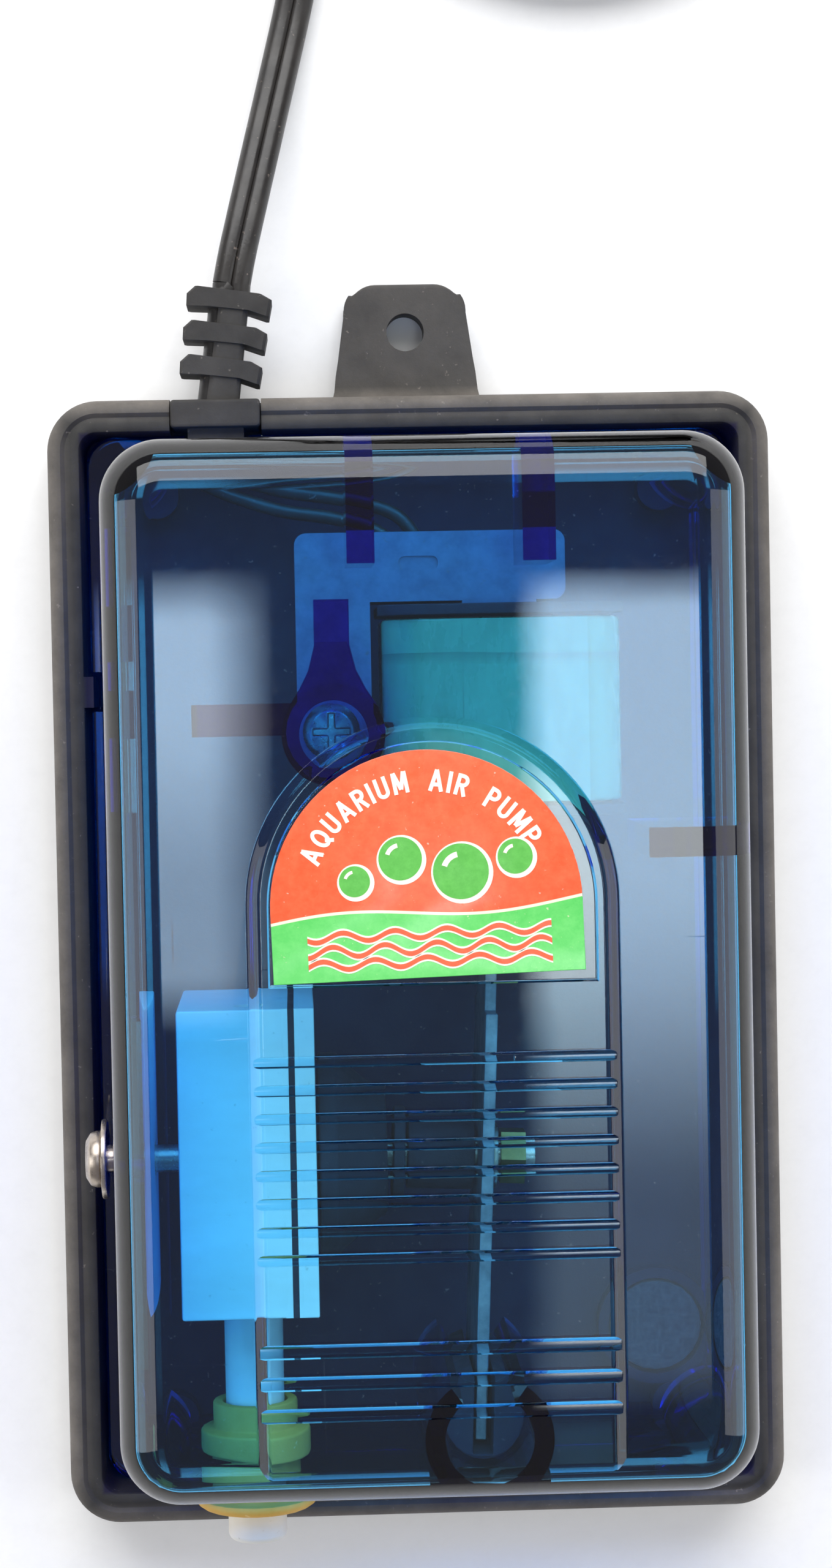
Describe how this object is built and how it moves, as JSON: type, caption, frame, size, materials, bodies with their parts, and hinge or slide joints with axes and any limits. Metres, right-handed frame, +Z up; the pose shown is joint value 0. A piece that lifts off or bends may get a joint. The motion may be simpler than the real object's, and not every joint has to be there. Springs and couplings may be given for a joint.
{
  "type": "air pump",
  "caption": "Small diaphragm air pump: clear blue cover on a black rubber base with hang tab, hose nozzle, swing arm, magnet, coil and mains lead.",
  "frame": {"origin": "centre of the base's underside", "axes": "+Z up out of the cover, +Y to the hang tab and the mains lead, -Y to the hose nozzle, +X to the right"},
  "size_m": [0.1049, 0.2286, 0.048],
  "materials": {
    "black_rubber": "matte moulded rubber",
    "clear_blue": "clear blue gloss plastic",
    "printed_label": "printed film",
    "cord_jacket": "satin jacket",
    "yellow_rubber": "soft yellow rubber",
    "white_plastic": "natural white plastic",
    "core_steel": "laminated steel",
    "spring_steel": "thin bright strip",
    "nickel": "nickel plate",
    "brass": "brass",
    "coil_tape": "green insulating tape",
    "ferrite": "sintered ferrite",
    "felt": "white felt"
  },
  "bodies": {
    "casing": {"rubber_base": "black_rubber", "clear_cover": "clear_blue", "label": "printed_label", "inlet_felt": "felt", "air_outlet_tube": "white_plastic", "nozzle_grommet": "yellow_rubber", "chamber_body": "white_plastic", "chamber_gasket": "black_rubber", "valve_plate": "white_plastic", "chamber_washer": "nickel", "chamber_screw": "nickel", "diaphragm_cup": "black_rubber", "pivot_bush": "black_rubber", "laminated_core": "core_steel", "coil_bobbin": "black_rubber", "coil_winding": "coil_tape", "core_bolt": "nickel", "core_nut": "nickel", "lead_live": "cord_jacket", "lead_neutral": "cord_jacket", "strain_relief": "black_rubber", "power_cord": "cord_jacket", "power_cord_coil": "cord_jacket", "power_cord_end": "cord_jacket", "plug_body": "black_rubber", "plug_pin_a": "nickel", "plug_pin_b": "nickel"},
    "arm": {"swing_arm": "spring_steel", "magnet_holder": "white_plastic", "magnet": "ferrite", "diaphragm_inner_plate": "white_plastic", "diaphragm_outer_plate": "black_rubber", "arm_spacer": "black_rubber", "nut_washer": "nickel", "diaphragm_nut": "brass", "diaphragm_bolt": "nickel"},
    "inlet_valve": {"inlet_flap": "black_rubber"},
    "outlet_valve": {"outlet_flap": "black_rubber"}
  },
  "joints": [
    {"name": "arm_swing", "type": "hinge", "parent": "casing", "child": "arm", "pos_m": [0.00462, -0.0439, 0.022], "axis": [0, 0, 1], "range_deg": [-1.4, 1.4], "stiffness_Nm_per_rad": 3, "deforming": ["diaphragm_cup"]},
    {"name": "inlet_flap_lift", "type": "hinge", "parent": "casing", "child": "inlet_valve", "pos_m": [-0.01145, -0.0192, 0.03], "axis": [0, -1, 0], "range_deg": [0, 12], "stiffness_Nm_per_rad": 0.0002},
    {"name": "outlet_flap_lift", "type": "hinge", "parent": "casing", "child": "outlet_valve", "pos_m": [-0.01345, -0.0192, 0.0134], "axis": [0, -1, 0], "range_deg": [0, 12], "stiffness_Nm_per_rad": 0.0002}
  ]
}
